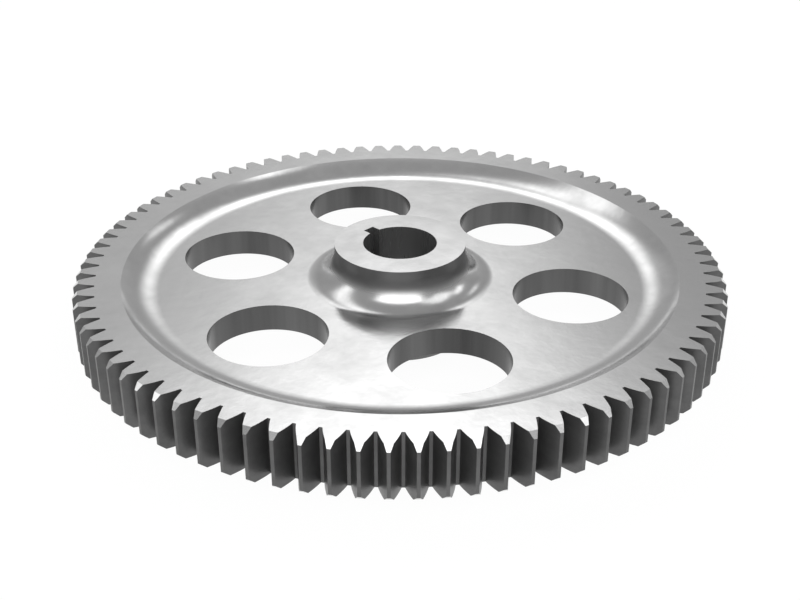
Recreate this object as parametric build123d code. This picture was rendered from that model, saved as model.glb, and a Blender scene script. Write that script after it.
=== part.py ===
from build123d import *
import os
from math import acos, cos, pi, radians, sin, sqrt, tan

# Spur gear, machined from one piece of steel: a ring of straight involute teeth, a rim,
# a thin web with lightening holes, and a long hub with a keyed bore.
# Millimetres and degrees. +Z is the bore axis and z = 0 is the middle of the web.
# The keyway is on +Y, and a tooth space is centred on +Y too.

# Tooth ring
tooth_count = 85
tooth_module = 3.0            # pitch diameter for each tooth
pressure_angle = 22.5
addendum = 3.9                # pitch circle out to the tooth tips
dedendum = 4.8                # pitch circle in to the tooth roots
face_width = 22.4             # length of the teeth along the axis
tip_chamfer = 2.1             # 45 degree chamfer on both ends of every tooth tip

# Rim, web and hub
rim_wall = 10.2               # tooth roots in to the edge of the dished recess
web_thickness = 11.0
rim_blend_radius = 21.5       # turned blend from the web up to the rim
hub_diameter = 53.3
hub_length = 40.0
hub_blend_radius = 11.5       # turned blend from the web up to the hub

# Bore and keyway
bore_diameter = 30.0
keyway_width = 5.2
keyway_depth = 3.6            # bore wall out to the keyway floor

# Lightening holes, sized by the flat of the web that they leave beside each blend
hole_count = 6
hole_to_hub_blend = 9.25
hole_to_rim_blend = 4.5

# How far each cutter runs past the surface that it leaves by
cutter_overrun = 1.0

# Circles of the tooth ring
pitch_radius = tooth_module * tooth_count / 2
base_radius = pitch_radius * cos(radians(pressure_angle))
tip_radius = pitch_radius + addendum
root_radius = pitch_radius - dedendum

# Heights above the middle plane
web_top = web_thickness / 2
rim_top = face_width / 2
hub_top = hub_length / 2

# Radii across the body, from the hub out to the rim
bore_radius = bore_diameter / 2
hub_radius = hub_diameter / 2
rim_edge_radius = root_radius - rim_wall


def blend_rise(step, radius):
    """Height of a blend's arc: the whole step, or one radius of it where the step is taller."""
    return min(step, radius)


def blend_reach(step, radius):
    """How far the blend of a step of this height runs over the web."""
    return sqrt(radius ** 2 - (radius - blend_rise(step, radius)) ** 2)


hub_step = hub_top - web_top
rim_step = rim_top - web_top
hub_blend_end = hub_radius + blend_reach(hub_step, hub_blend_radius)
rim_blend_end = rim_edge_radius - blend_reach(rim_step, rim_blend_radius)

# Lightening holes, from the width of the flat between the blends
hole_inner = hub_blend_end + hole_to_hub_blend
hole_outer = rim_blend_end - hole_to_rim_blend
hole_radius = (hole_outer - hole_inner) / 2
hole_circle_radius = (hole_outer + hole_inner) / 2


def blend(wall_radius, step, radius, outward):
    """Arc from a wall at wall_radius down to the web, tangent to the web.

    outward is +1 for the hub, whose blend runs out, and -1 for the rim, whose blend runs in.
    """
    rise = blend_rise(step, radius)
    turned = acos((radius - rise) / radius)
    foot_radius = wall_radius + outward * blend_reach(step, radius)
    middle = (
        foot_radius - outward * radius * sin(turned / 2),
        web_top + radius * (1 - cos(turned / 2)),
    )
    return ThreePointArc((wall_radius, web_top + rise), middle, (foot_radius, web_top))


def dished_side():
    """Outline of one face of the blank, from the axis out over the hub and web to the rim."""
    edges = [Line((0, hub_top), (hub_radius, hub_top))]
    if hub_step > hub_blend_radius:
        hub_blend_top = web_top + hub_blend_radius
        edges.append(Line((hub_radius, hub_top), (hub_radius, hub_blend_top)))
    edges.append(blend(hub_radius, hub_step, hub_blend_radius, 1))
    edges.append(Line((hub_blend_end, web_top), (rim_blend_end, web_top)))
    edges.append(blend(rim_edge_radius, rim_step, rim_blend_radius, -1))
    if rim_step > rim_blend_radius:
        rim_blend_top = web_top + rim_blend_radius
        edges.append(Line((rim_edge_radius, rim_blend_top), (rim_edge_radius, rim_top)))
    return Curve(edges)


def turned_blank():
    """The blank as it leaves the lathe, before its holes and teeth: both faces are alike."""
    rim_outline = Polyline(
        (rim_edge_radius, rim_top),
        (tip_radius - tip_chamfer, rim_top),
        (tip_radius, rim_top - tip_chamfer),
        (tip_radius, tip_chamfer - rim_top),
        (tip_radius - tip_chamfer, -rim_top),
        (rim_edge_radius, -rim_top),
    )
    axis_line = Line((0, hub_top), (0, -hub_top))
    upper = dished_side()
    lower = mirror(upper, Plane.XZ)
    section = make_face([*upper.edges(), *lower.edges(), *rim_outline.edges(), axis_line])
    return revolve(Plane.XZ * section, Axis.Z)


def involute(angle):
    """How far an involute has turned, in radians, where its pressure angle is this one."""
    return tan(angle) - angle


def flank_point(radius, side):
    """Point on a tooth space's flank at a radius; the space is centred on +Y."""
    pitch_angle = radians(pressure_angle)
    local_angle = acos(base_radius / radius)
    half_space = pi / (2 * tooth_count) - involute(pitch_angle) + involute(local_angle)
    return (side * radius * sin(half_space), radius * cos(half_space))


def tooth_space():
    """Face of one space between two teeth: two flanks, a root arc and an open mouth.

    Each flank is the arc through three points of its involute, which leaves it by microns.
    """
    mouth_radius = tip_radius + cutter_overrun
    radii = [root_radius, (root_radius + mouth_radius) / 2, mouth_radius]
    left = [flank_point(radius, -1) for radius in radii]
    right = [flank_point(radius, 1) for radius in radii]
    outline = [
        ThreePointArc(*left),
        Line(left[-1], right[-1]),
        ThreePointArc(*right),
        ThreePointArc(left[0], (0, root_radius), right[0]),
    ]
    return make_face(outline)


def tooth_spaces():
    """All the spaces of the ring, as long as the teeth."""
    length = face_width + 2 * cutter_overrun
    cutter = extrude(Pos(0, 0, -length / 2) * tooth_space(), length)
    return PolarLocations(0, tooth_count) * cutter


def lightening_holes():
    ring = PolarLocations(hole_circle_radius, hole_count)
    return ring * Cylinder(hole_radius, web_thickness + 2 * cutter_overrun)


def keyed_bore():
    length = hub_length + 2 * cutter_overrun
    keyway_floor = bore_radius + keyway_depth
    keyway = Box(keyway_width, keyway_floor, length, align=(Align.CENTER, Align.MIN, Align.CENTER))
    return Cylinder(bore_radius, length) + keyway


def spur_gear():
    return turned_blank() - keyed_bore() - lightening_holes() - tooth_spaces()


os.makedirs("parts", exist_ok=True)
gear = spur_gear()
gear.label = "spur_gear"
export_step(gear, "parts/spur_gear.step")
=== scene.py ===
from math import acos, atan2, cos, pi, radians, sin, sqrt, tan

import bpy
from mathutils import Matrix, Vector


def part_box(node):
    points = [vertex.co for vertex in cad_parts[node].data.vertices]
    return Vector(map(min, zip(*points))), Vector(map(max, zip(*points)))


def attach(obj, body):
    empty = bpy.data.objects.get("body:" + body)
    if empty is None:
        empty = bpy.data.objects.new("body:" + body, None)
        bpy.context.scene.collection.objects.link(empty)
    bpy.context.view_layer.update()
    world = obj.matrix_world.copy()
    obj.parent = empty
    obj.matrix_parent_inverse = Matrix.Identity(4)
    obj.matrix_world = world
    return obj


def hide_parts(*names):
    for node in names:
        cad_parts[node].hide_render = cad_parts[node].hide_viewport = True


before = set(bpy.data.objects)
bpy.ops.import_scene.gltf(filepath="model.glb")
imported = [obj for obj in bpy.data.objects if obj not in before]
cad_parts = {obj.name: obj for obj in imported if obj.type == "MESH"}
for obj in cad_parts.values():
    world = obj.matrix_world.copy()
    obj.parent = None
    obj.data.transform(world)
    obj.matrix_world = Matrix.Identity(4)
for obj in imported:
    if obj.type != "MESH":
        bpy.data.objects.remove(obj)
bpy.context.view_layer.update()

# Driving dimensions, in metres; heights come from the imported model
MM = 0.001
gear_low, gear_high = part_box("spur_gear")
hub_top = gear_high.z
tooth_count = 85
tooth_module = 3.0 * MM
pressure_angle = radians(22.5)
addendum = 3.9 * MM
dedendum = 4.8 * MM
face_width = 22.4 * MM
tip_chamfer = 2.1 * MM
rim_wall = 10.2 * MM
web_thickness = 11.0 * MM
rim_blend_radius = 21.5 * MM
hub_radius = 26.65 * MM
hub_blend_radius = 11.5 * MM
bore_radius = 15.0 * MM
keyway_width = 5.2 * MM
keyway_depth = 3.6 * MM
hole_count = 6
hole_to_hub_blend = 9.25 * MM
hole_to_rim_blend = 4.5 * MM

# What follows from them
pitch_radius = tooth_count * tooth_module / 2
base_radius = pitch_radius * cos(pressure_angle)
tip_radius = pitch_radius + addendum
root_radius = pitch_radius - dedendum
rim_top = face_width / 2
web_top = web_thickness / 2
rim_edge_radius = root_radius - rim_wall
rim_step = rim_top - web_top
rim_blend_turn = acos(1 - rim_step / rim_blend_radius)
rim_blend_foot = rim_edge_radius - rim_blend_radius * sin(rim_blend_turn)
hub_blend_foot = hub_radius + hub_blend_radius
hole_inner = hub_blend_foot + hole_to_hub_blend
hole_outer = rim_blend_foot - hole_to_rim_blend
hole_radius = (hole_outer - hole_inner) / 2
hole_circle_radius = (hole_outer + hole_inner) / 2

turn_segments = tooth_count * 6
hub_blend_steps = 16
rim_blend_steps = 12
flank_steps = 8
hole_segments = 128
overrun = 1.0 * MM
edge_break = 0.22 * MM
sharp_edge = radians(38)
smooth_limit = radians(24)
# Painted shade on the hub: between these two radii the colour of the hub's wall and blend fades from dark
# to the steel's own, and the dulling makes it rougher there
hub_painted_fade_start = hub_radius + 0.4 * MM
hub_painted_fade_end = hub_radius + 2.6 * MM
hub_wall_dulling = 0.22


# Modelling helpers
def deselect_all():
    for thing in bpy.context.selected_objects:
        thing.select_set(False)


def name_piece(name):
    piece = bpy.context.active_object
    piece.name = name
    piece.data.name = name
    return piece


def settle(piece):
    """The piece's place goes into its mesh."""
    deselect_all()
    piece.select_set(True)
    bpy.context.view_layer.objects.active = piece
    bpy.ops.object.transform_apply(location=True, rotation=True, scale=True)


def cut(piece, cutter):
    """Takes the cutter away from the piece."""
    deselect_all()
    piece.select_set(True)
    bpy.context.view_layer.objects.active = piece
    step = piece.modifiers.new("cut", "BOOLEAN")
    step.operation = "DIFFERENCE"
    step.solver = "EXACT"
    step.object = cutter
    bpy.ops.object.modifier_apply(modifier=step.name)
    bpy.data.objects.remove(cutter)


# The turned blank, ring by ring
def dished_side():
    """Stations (radius, height) of one face, from the hub's end to the tip chamfer's foot."""
    stations = [(bore_radius, hub_top), (hub_radius, hub_top)]
    for index in range(hub_blend_steps + 1):
        turned = pi / 2 * (1 - index / hub_blend_steps)
        stations.append((
            hub_blend_foot - hub_blend_radius * sin(turned),
            web_top + hub_blend_radius * (1 - cos(turned)),
        ))
    for index in range(rim_blend_steps + 1):
        turned = rim_blend_turn * index / rim_blend_steps
        stations.append((
            rim_blend_foot + rim_blend_radius * sin(turned),
            web_top + rim_blend_radius * (1 - cos(turned)),
        ))
    stations.append((tip_radius - tip_chamfer, rim_top))
    stations.append((tip_radius, rim_top - tip_chamfer))
    return stations


def turned_blank():
    upper = dished_side()
    lower = [(radius, -height) for radius, height in reversed(upper)]
    outline = upper + lower + upper[:1]
    first_radius, first_height = outline[0]
    deselect_all()
    bpy.ops.mesh.primitive_circle_add(
        vertices=turn_segments, radius=first_radius, location=(0, 0, first_height)
    )
    blank = name_piece("gear_spur")
    settle(blank)
    bpy.ops.object.mode_set(mode="EDIT")
    bpy.ops.mesh.select_all(action="SELECT")
    for (radius, height), (next_radius, next_height) in zip(outline, outline[1:]):
        grow = next_radius / radius
        bpy.ops.mesh.extrude_region_move(
            TRANSFORM_OT_translate={"value": (0, 0, next_height - height)}
        )
        if abs(grow - 1) > 1e-9:
            bpy.ops.transform.resize(value=(grow, grow, 1), center_override=(0, 0, 0))
    bpy.ops.mesh.select_all(action="SELECT")
    bpy.ops.mesh.remove_doubles(threshold=0.001 * MM)
    bpy.ops.mesh.normals_make_consistent(inside=False)
    bpy.ops.object.mode_set(mode="OBJECT")
    return blank


# Cutters
def involute(angle):
    return tan(angle) - angle


def half_space_width(radius):
    """Half the width of a tooth space at this radius, and how far out that chord lies."""
    local_angle = acos(min(1.0, base_radius / radius))
    half = pi / (2 * tooth_count) - involute(pressure_angle) + involute(local_angle)
    return radius * sin(half), radius * cos(half)


def tooth_space_cutters():
    """One cutter for each space, grown from the root outwards, then copied round the ring."""
    mouth_radius = tip_radius + overrun
    widths = []
    for index in range(flank_steps + 1):
        radius = root_radius + (mouth_radius - root_radius) * index / flank_steps
        widths.append(half_space_width(radius))
    half_width, out = widths[0]
    length = face_width + 2 * overrun
    deselect_all()
    bpy.ops.mesh.primitive_plane_add(size=1, location=(0, out, 0), rotation=(pi / 2, 0, 0))
    cutter = name_piece("space_cutter")
    cutter.scale = (2 * half_width, length, 1)
    settle(cutter)
    bpy.ops.object.mode_set(mode="EDIT")
    bpy.ops.mesh.select_all(action="SELECT")
    for (half_width, out), (next_half, next_out) in zip(widths, widths[1:]):
        bpy.ops.mesh.extrude_region_move(
            TRANSFORM_OT_translate={"value": (0, next_out - out, 0)}
        )
        bpy.ops.transform.resize(
            value=(next_half / half_width, 1, 1), center_override=(0, 0, 0)
        )
    bpy.ops.mesh.select_all(action="SELECT")
    bpy.ops.mesh.normals_make_consistent(inside=False)
    bpy.ops.mesh.spin(
        dupli=True, steps=tooth_count - 1, angle=2 * pi * (tooth_count - 1) / tooth_count,
        center=(0, 0, 0), axis=(0, 0, 1),
    )
    bpy.ops.object.mode_set(mode="OBJECT")
    return cutter


def hole_cutters():
    deselect_all()
    bpy.ops.mesh.primitive_cylinder_add(
        vertices=hole_segments, radius=hole_radius, depth=web_thickness + 2 * overrun,
        location=(hole_circle_radius, 0, 0),
    )
    cutter = name_piece("hole_cutter")
    settle(cutter)
    bpy.ops.object.mode_set(mode="EDIT")
    bpy.ops.mesh.select_all(action="SELECT")
    bpy.ops.mesh.spin(
        dupli=True, steps=hole_count - 1, angle=2 * pi * (hole_count - 1) / hole_count,
        center=(0, 0, 0), axis=(0, 0, 1),
    )
    bpy.ops.object.mode_set(mode="OBJECT")
    return cutter


def keyway_cutter():
    floor_radius = bore_radius + keyway_depth
    middle = (floor_radius + bore_radius * 0.5) / 2
    deselect_all()
    bpy.ops.mesh.primitive_cube_add(size=1, location=(0, middle, 0))
    cutter = name_piece("keyway_cutter")
    cutter.scale = (keyway_width, floor_radius - bore_radius * 0.5, 2 * (hub_top + overrun))
    settle(cutter)
    return cutter


# Shader helpers
def add_node(tree, kind, place, **values):
    made = tree.nodes.new(kind)
    made.location = place
    for key, value in values.items():
        setattr(made, key, value)
    return made


def mottle_group():
    """Soft clouding of a worked steel face, with faint wiping streaks. Puts out shade, haze and height."""
    group = bpy.data.node_groups.new("steel_clouding", "ShaderNodeTree")
    group.interface.new_socket("Vector", in_out="INPUT", socket_type="NodeSocketVector")
    for label, start in (("Cloud Scale", 45.0), ("Streak Scale", 160.0), ("Streak Share", 0.3)):
        socket = group.interface.new_socket(label, in_out="INPUT", socket_type="NodeSocketFloat")
        socket.default_value = start
    for label in ("Shade", "Haze", "Height"):
        group.interface.new_socket(label, in_out="OUTPUT", socket_type="NodeSocketFloat")
    link = group.links.new
    enter = add_node(group, "NodeGroupInput", (-900, 0))
    leave = add_node(group, "NodeGroupOutput", (700, 0))
    cloud = add_node(group, "ShaderNodeTexNoise", (-600, 200))
    cloud.inputs["Detail"].default_value = 5.0
    cloud.inputs["Roughness"].default_value = 0.6
    link(enter.outputs["Vector"], cloud.inputs["Vector"])
    link(enter.outputs["Cloud Scale"], cloud.inputs["Scale"])
    stretch = add_node(group, "ShaderNodeMapping", (-750, -150))
    stretch.inputs["Rotation"].default_value = (0, 0, radians(62))
    stretch.inputs["Scale"].default_value = (1.0, 0.12, 1.0)
    link(enter.outputs["Vector"], stretch.inputs["Vector"])
    streak = add_node(group, "ShaderNodeTexNoise", (-560, -150))
    streak.inputs["Detail"].default_value = 3.0
    streak.inputs["Roughness"].default_value = 0.55
    link(stretch.outputs["Vector"], streak.inputs["Vector"])
    link(enter.outputs["Streak Scale"], streak.inputs["Scale"])
    spread = add_node(group, "ShaderNodeMapRange", (-350, 200))
    spread.inputs["From Min"].default_value = 0.32
    spread.inputs["From Max"].default_value = 0.68
    link(cloud.outputs["Fac"], spread.inputs["Value"])
    mixed = add_node(group, "ShaderNodeMix", (-100, 50), data_type="FLOAT")
    link(enter.outputs["Streak Share"], mixed.inputs["Factor"])
    link(spread.outputs["Result"], mixed.inputs["A"])
    link(streak.outputs["Fac"], mixed.inputs["B"])
    link(mixed.outputs["Result"], leave.inputs["Shade"])
    flip = add_node(group, "ShaderNodeMath", (150, -100), operation="SUBTRACT")
    flip.inputs[0].default_value = 1.0
    link(mixed.outputs["Result"], flip.inputs[1])
    link(flip.outputs["Value"], leave.inputs["Haze"])
    link(cloud.outputs["Fac"], leave.inputs["Height"])
    return group


def darken_hub_painted(tree, position, colour, shade):
    """Painted shade: darkens the colour of the hub's wall and the top of its blend by radius, standing in
    for the dark reflection there, not a change of finish. Gives the colour and the shade's mask.
    """
    link = tree.links.new
    flat = add_node(tree, "ShaderNodeMapping", (-400, 500), vector_type="POINT")
    flat.inputs["Scale"].default_value = (1, 1, 0)
    link(position, flat.inputs["Vector"])
    length = add_node(tree, "ShaderNodeVectorMath", (-250, 500), operation="LENGTH")
    link(flat.outputs["Vector"], length.inputs[0])
    fade = add_node(tree, "ShaderNodeMapRange", (-100, 500), interpolation_type="SMOOTHSTEP")
    fade.inputs["From Min"].default_value = hub_painted_fade_start
    fade.inputs["From Max"].default_value = hub_painted_fade_end
    fade.inputs["To Min"].default_value = 1.0
    fade.inputs["To Max"].default_value = 0.0
    link(length.outputs["Value"], fade.inputs["Value"])
    darker = add_node(tree, "ShaderNodeMix", (150, 400), data_type="RGBA")
    darker.inputs["B"].default_value = (*shade, 1)
    link(fade.outputs["Result"], darker.inputs["Factor"])
    link(colour, darker.inputs["A"])
    return darker.outputs["Result"], fade.outputs["Result"]


def steel(name, clouding, dark, light, smooth, rough, scales, bump, metal=1.0,
          stretch=(1, 1, 1), hub_painted_shade=None):
    """A steel finish: its shade runs from dark to light and its roughness from smooth to rough. With a hub
    colour given, it also darkens the hub's wall with painted shade.
    """
    material = bpy.data.materials.new(name)
    material.use_nodes = True
    tree = material.node_tree
    tree.nodes.clear()
    link = tree.links.new
    out = add_node(tree, "ShaderNodeOutputMaterial", (700, 0))
    shader = add_node(tree, "ShaderNodeBsdfPrincipled", (400, 0))
    shader.inputs["Metallic"].default_value = metal
    where = add_node(tree, "ShaderNodeTexCoord", (-900, 0))
    place = add_node(tree, "ShaderNodeMapping", (-700, 0))
    place.inputs["Scale"].default_value = stretch
    effect = add_node(tree, "ShaderNodeGroup", (-450, 0), node_tree=clouding)
    effect.inputs["Cloud Scale"].default_value = scales[0]
    effect.inputs["Streak Scale"].default_value = scales[1]
    effect.inputs["Streak Share"].default_value = scales[2]
    shade = add_node(tree, "ShaderNodeMix", (-100, 200), data_type="RGBA")
    shade.inputs["A"].default_value = (*dark, 1)
    shade.inputs["B"].default_value = (*light, 1)
    haze = add_node(tree, "ShaderNodeMapRange", (-100, 0))
    haze.inputs["To Min"].default_value = smooth
    haze.inputs["To Max"].default_value = rough
    relief = add_node(tree, "ShaderNodeBump", (100, -250))
    relief.inputs["Strength"].default_value = bump[0]
    relief.inputs["Distance"].default_value = bump[1]
    shade_out = shade.outputs["Result"]
    haze_out = haze.outputs["Result"]
    # Painted shade on the hub's wall and upper blend; the same mask also makes it rougher
    if hub_painted_shade is not None:
        shade_out, wall = darken_hub_painted(tree, where.outputs["Object"], shade_out, hub_painted_shade)
        dull = add_node(tree, "ShaderNodeMath", (150, 50), operation="MULTIPLY_ADD")
        dull.inputs[1].default_value = hub_wall_dulling
        link(wall, dull.inputs[0])
        link(haze.outputs["Result"], dull.inputs[2])
        haze_out = dull.outputs["Value"]
    link(where.outputs["Object"], place.inputs["Vector"])
    link(place.outputs["Vector"], effect.inputs["Vector"])
    link(effect.outputs["Shade"], shade.inputs["Factor"])
    link(effect.outputs["Haze"], haze.inputs["Value"])
    link(effect.outputs["Height"], relief.inputs["Height"])
    link(shade_out, shader.inputs["Base Color"])
    link(haze_out, shader.inputs["Roughness"])
    link(relief.outputs["Normal"], shader.inputs["Normal"])
    link(shader.outputs["BSDF"], out.inputs["Surface"])
    return material


# Which finish a face has
def is_upright(face):
    return abs(face.normal.z) < 0.35


def finish_of(face):
    middle = face.center
    radius = sqrt(middle.x ** 2 + middle.y ** 2)
    height = abs(middle.z)
    on_blend = hub_radius - edge_break < radius < hub_blend_foot and height > web_top + 0.01 * MM
    if on_blend and height < hub_top - 0.01 * MM:
        return 3
    if not is_upright(face):
        return 0
    if radius > root_radius - edge_break * 2:
        return 1
    if radius < bore_radius + keyway_depth + edge_break:
        return 4
    sector = 2 * pi / hole_count
    bearing = round(atan2(middle.y, middle.x) / sector) * sector
    hole = Vector((hole_circle_radius * cos(bearing), hole_circle_radius * sin(bearing)))
    away = (Vector((middle.x, middle.y)) - hole).length
    if away < hole_radius + 2 * edge_break and abs(middle.z) < web_top:
        return 2
    return 0


def spur_gear(finishes):
    gear = turned_blank()
    cut(gear, keyway_cutter())
    cut(gear, hole_cutters())
    cut(gear, tooth_space_cutters())
    deselect_all()
    gear.select_set(True)
    bpy.context.view_layer.objects.active = gear
    bpy.ops.object.mode_set(mode="EDIT")
    bpy.ops.mesh.select_all(action="SELECT")
    bpy.ops.mesh.remove_doubles(threshold=0.004 * MM)
    bpy.ops.object.mode_set(mode="OBJECT")
    broken = gear.modifiers.new("edge_break", "BEVEL")
    broken.width = edge_break
    broken.segments = 2
    broken.limit_method = "ANGLE"
    broken.angle_limit = sharp_edge
    broken.use_clamp_overlap = True
    bpy.ops.object.modifier_apply(modifier=broken.name)
    gear.data.materials.clear()
    for finish in finishes:
        gear.data.materials.append(finish)
    for face in gear.data.polygons:
        face.material_index = finish_of(face)
    bpy.ops.object.shade_smooth_by_angle(angle=smooth_limit)
    evened = gear.modifiers.new("even_shading", "WEIGHTED_NORMAL")
    evened.keep_sharp = True
    evened.weight = 60
    bpy.ops.object.modifier_apply(modifier=evened.name)
    return gear


# Studio
view_bearing = radians(45)
view_lens = 56.745
view_target = Vector((0, 0, -6.64 * MM))
view_distance = 525.5 * MM
view_elevation = radians(28.453)
floor_radius = 12.0
floor_colour = (0.85, 0.85, 0.85, 1)
floor_glow = 1.03
floor_glow_share = 0.92


def studio_camera():
    away = Vector((
        -cos(view_bearing) * cos(view_elevation),
        -sin(view_bearing) * cos(view_elevation),
        sin(view_elevation),
    ))
    data = bpy.data.cameras.new("studio_camera")
    camera = bpy.data.objects.new("studio_camera", data)
    bpy.context.scene.collection.objects.link(camera)
    data.lens = view_lens
    data.sensor_width = 36.0
    data.clip_start = 0.01
    data.clip_end = 100.0
    camera.location = view_target + view_distance * away
    camera.rotation_euler = away.to_track_quat("Z", "Y").to_euler()
    bpy.context.scene.camera = camera


def studio_floor():
    deselect_all()
    bpy.ops.mesh.primitive_circle_add(
        vertices=128, radius=floor_radius, fill_type="NGON", location=(0, 0, -hub_top)
    )
    floor = name_piece("studio_floor")
    settle(floor)
    material = bpy.data.materials.new("floor_pale")
    material.use_nodes = True
    tree = material.node_tree
    tree.nodes.clear()
    link = tree.links.new
    out = add_node(tree, "ShaderNodeOutputMaterial", (600, 0))
    body = add_node(tree, "ShaderNodeBsdfDiffuse", (0, -100))
    body.inputs["Color"].default_value = floor_colour
    glow = add_node(tree, "ShaderNodeEmission", (0, 100))
    glow.inputs["Strength"].default_value = floor_glow
    path = add_node(tree, "ShaderNodeLightPath", (-600, 200))
    first = add_node(tree, "ShaderNodeMath", (-350, 200), operation="MAXIMUM")
    second = add_node(tree, "ShaderNodeMath", (-200, 200), operation="MAXIMUM")
    share = add_node(tree, "ShaderNodeMath", (0, 250), operation="MULTIPLY")
    share.inputs[1].default_value = floor_glow_share
    mixed = add_node(tree, "ShaderNodeMixShader", (300, 0))
    link(path.outputs["Is Camera Ray"], first.inputs[0])
    link(path.outputs["Is Glossy Ray"], first.inputs[1])
    link(first.outputs["Value"], second.inputs[0])
    link(path.outputs["Is Transmission Ray"], second.inputs[1])
    link(second.outputs["Value"], share.inputs[0])
    link(share.outputs["Value"], mixed.inputs["Fac"])
    link(body.outputs["BSDF"], mixed.inputs[1])
    link(glow.outputs["Emission"], mixed.inputs[2])
    link(mixed.outputs["Shader"], out.inputs["Surface"])
    floor.data.materials.append(material)


def bearing_vector(bearing, elevation):
    """Direction at a bearing from straight ahead of the camera, to the right, and an elevation."""
    flat = view_bearing - radians(bearing)
    rise = radians(elevation)
    return Vector((cos(flat) * cos(rise), sin(flat) * cos(rise), sin(rise)))


def soft_panel(tree, direction, panel, row):
    """A soft-edged light panel of the studio, as a level over the sky."""
    bearing, elevation, half_wide, half_high, roll, edge, level = panel
    ahead = bearing_vector(bearing, elevation)
    side = ahead.cross(Vector((0, 0, 1))).normalized()
    up = side.cross(ahead)
    turn = Matrix.Rotation(radians(roll), 3, ahead)
    axes = (turn @ side, turn @ up)
    link = tree.links.new
    facing = add_node(tree, "ShaderNodeVectorMath", (-900, row), operation="DOT_PRODUCT")
    facing.inputs[1].default_value = ahead
    link(direction, facing.inputs[0])
    safe = add_node(tree, "ShaderNodeMath", (-700, row), operation="MAXIMUM")
    safe.inputs[1].default_value = 0.02
    link(facing.outputs["Value"], safe.inputs[0])
    inside = None
    for axis, half in zip(axes, (half_wide, half_high)):
        along = add_node(tree, "ShaderNodeVectorMath", (-700, row - 40), operation="DOT_PRODUCT")
        along.inputs[1].default_value = axis
        link(direction, along.inputs[0])
        ratio = add_node(tree, "ShaderNodeMath", (-500, row), operation="DIVIDE")
        link(along.outputs["Value"], ratio.inputs[0])
        link(safe.outputs["Value"], ratio.inputs[1])
        size = add_node(tree, "ShaderNodeMath", (-350, row), operation="ABSOLUTE")
        link(ratio.outputs["Value"], size.inputs[0])
        band = add_node(tree, "ShaderNodeMapRange", (-200, row), interpolation_type="SMOOTHSTEP")
        band.inputs["From Min"].default_value = tan(radians(max(0.1, half - edge)))
        band.inputs["From Max"].default_value = tan(radians(half + edge))
        band.inputs["To Min"].default_value = 1.0
        band.inputs["To Max"].default_value = 0.0
        link(size.outputs["Value"], band.inputs["Value"])
        if inside is None:
            inside = band.outputs["Result"]
        else:
            both = add_node(tree, "ShaderNodeMath", (0, row), operation="MULTIPLY")
            link(inside, both.inputs[0])
            link(band.outputs["Result"], both.inputs[1])
            inside = both.outputs["Value"]
    front = add_node(tree, "ShaderNodeMath", (100, row), operation="GREATER_THAN")
    front.inputs[1].default_value = 0.03
    link(facing.outputs["Value"], front.inputs[0])
    lit = add_node(tree, "ShaderNodeMath", (200, row), operation="MULTIPLY")
    link(inside, lit.inputs[0])
    link(front.outputs["Value"], lit.inputs[1])
    scaled = add_node(tree, "ShaderNodeMath", (350, row), operation="MULTIPLY")
    scaled.inputs[1].default_value = level
    link(lit.outputs["Value"], scaled.inputs[0])
    return scaled.outputs["Value"]


# Bearing, elevation, half width, half height, roll, soft edge in degrees, and level
panels = [
    (0, 34, 5, 10.5, 0, 6.5, 1.0),
    (0, 40.5, 12, 6, 0, 5, 1.1),
    (-14, 30, 6, 14, 0, 5, 0.14),
    (180, 46, 27, 24, 0, 4, 1.75),
    (-62, 46, 8, 34, 58, 5, 1.3),
    (100, 52, 12, 14, 0, 4, 1.3),
    (36, 35, 4, 5, 0, 3, 0.9),
    (71, 34, 6, 9, 0, 4, 1.3),
]
sky_level = 0.42
low_sky_level = 0.45
horizon_level = 0.95


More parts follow.
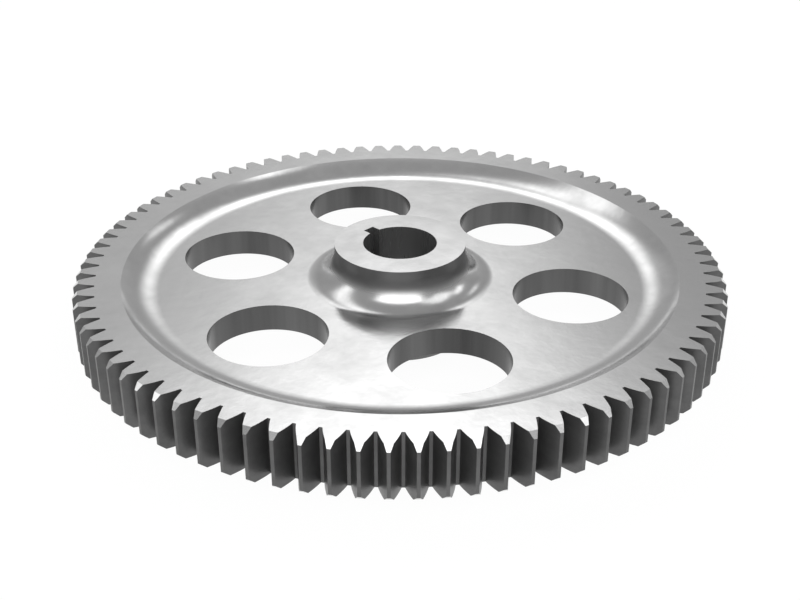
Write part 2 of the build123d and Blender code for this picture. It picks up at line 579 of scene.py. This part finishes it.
def studio_sky():
    world = bpy.data.worlds.new("studio_sky")
    bpy.context.scene.world = world
    world.use_nodes = True
    tree = world.node_tree
    tree.nodes.clear()
    link = tree.links.new
    where = add_node(tree, "ShaderNodeTexCoord", (-1300, 0))
    direction = where.outputs["Generated"]
    split = add_node(tree, "ShaderNodeSeparateXYZ", (-1100, 300))
    link(direction, split.inputs["Vector"])
    low = add_node(tree, "ShaderNodeMapRange", (-800, 500), interpolation_type="SMOOTHSTEP")
    low.inputs["From Min"].default_value = sin(radians(3))
    low.inputs["From Max"].default_value = sin(radians(6))
    low.inputs["To Min"].default_value = horizon_level - low_sky_level
    low.inputs["To Max"].default_value = 0.0
    link(split.outputs["Z"], low.inputs["Value"])
    high = add_node(tree, "ShaderNodeMapRange", (-800, 300), interpolation_type="SMOOTHSTEP")
    high.inputs["From Min"].default_value = sin(radians(13))
    high.inputs["From Max"].default_value = sin(radians(24))
    high.inputs["To Min"].default_value = low_sky_level
    high.inputs["To Max"].default_value = sky_level
    link(split.outputs["Z"], high.inputs["Value"])
    sky = add_node(tree, "ShaderNodeMath", (-500, 400), operation="ADD")
    link(low.outputs["Result"], sky.inputs[0])
    link(high.outputs["Result"], sky.inputs[1])
    total = sky.outputs["Value"]
    for index, panel in enumerate(panels):
        lit = soft_panel(tree, direction, panel, -200 * index)
        summed = add_node(tree, "ShaderNodeMath", (600, -200 * index), operation="ADD")
        link(total, summed.inputs[0])
        link(lit, summed.inputs[1])
        total = summed.outputs["Value"]
    light = add_node(tree, "ShaderNodeBackground", (900, 0))
    light.inputs["Color"].default_value = (1, 1, 1, 1)
    link(total, light.inputs["Strength"])
    out = add_node(tree, "ShaderNodeOutputWorld", (1100, 0))
    link(light.outputs["Background"], out.inputs["Surface"])


clouding = mottle_group()
turned_face = steel(
    "turned_face", clouding, (0.53,) * 3, (0.72,) * 3, 0.10, 0.25, (48, 120, 0.35), (0.2, 0.0005)
)
# Hub's wall and blend: steel like the faces, with painted shade darkening its colour to 0.16 near the hub
hub_wall = steel(
    "hub_wall", clouding, (0.50,) * 3, (0.68,) * 3, 0.14, 0.26, (60, 200, 0.35), (0.2, 0.0004),
    hub_painted_shade=(0.16,) * 3,
)
# Tooth flanks and tips: the near-black colour and lower metal are painted shade, standing in for the dark
# reflection they show; the steel is the same as on the faces
flank_painted_shade = steel(
    "flank_painted_shade", clouding, (0.08,) * 3, (0.15,) * 3, 0.28, 0.42, (60, 300, 0.5), (0.10, 0.0002),
    metal=0.6,
)
# Hole walls: the dark colour is painted shade, and its streaks along the hole's axis are painted
# reflection
hole_wall_painted_shade = steel(
    "hole_wall_painted_shade", clouding, (0.05,) * 3, (0.17,) * 3, 0.16, 0.30, (42, 110, 0.3), (0.10, 0.0002),
    stretch=(1, 1, 0.06),
)
# Bore and keyway: the darker colour and lower metal are painted shade, standing in for the dark reflection
# there
bore_painted_shade = steel(
    "bore_painted_shade", clouding, (0.16,) * 3, (0.27,) * 3, 0.22, 0.34, (70, 200, 0.4), (0.10, 0.0002),
    metal=0.7, stretch=(1, 1, 0.06),
)
gear = spur_gear([turned_face, flank_painted_shade, hole_wall_painted_shade, hub_wall, bore_painted_shade])
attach(gear, "root")
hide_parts("spur_gear")

studio_floor()
studio_sky()
studio_camera()
bpy.context.scene.view_settings.view_transform = "Standard"
